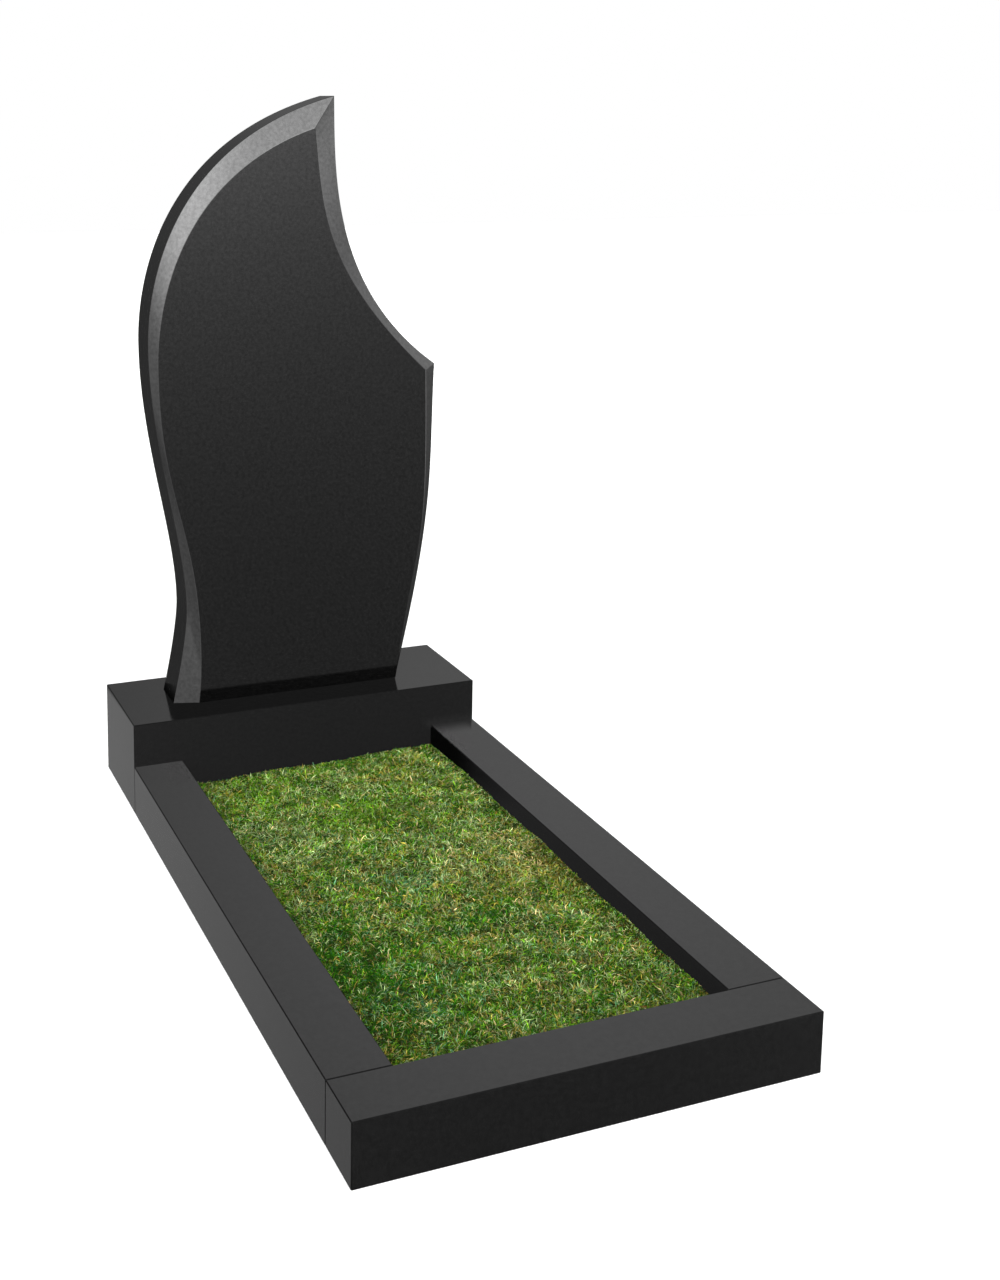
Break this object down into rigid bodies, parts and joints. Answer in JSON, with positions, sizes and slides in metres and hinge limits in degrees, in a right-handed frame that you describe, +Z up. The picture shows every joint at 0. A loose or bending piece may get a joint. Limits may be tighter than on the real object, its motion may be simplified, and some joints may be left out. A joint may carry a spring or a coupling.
{
  "type": "grave monument",
  "caption": "Polished granite grave monument: a wave-shaped upright slab with a chamfered rim on a base block, and a kerb frame round a bed of turf.",
  "frame": {"origin": "on the ground, under the middle of the whole monument", "axes": "+X to the right seen from the foot, +Y from the foot towards the upright slab, +Z up; the carved face looks along -Y"},
  "size_m": [0.6, 1.1806, 1.1501],
  "materials": {
    "black_granite": "polished",
    "turf": "matte"
  },
  "bodies": {
    "root": {"stele": "black_granite", "base_block": "black_granite", "kerb_left": "black_granite", "kerb_right": "black_granite", "kerb_foot": "black_granite", "turf_bed": "turf"}
  },
  "joints": []
}
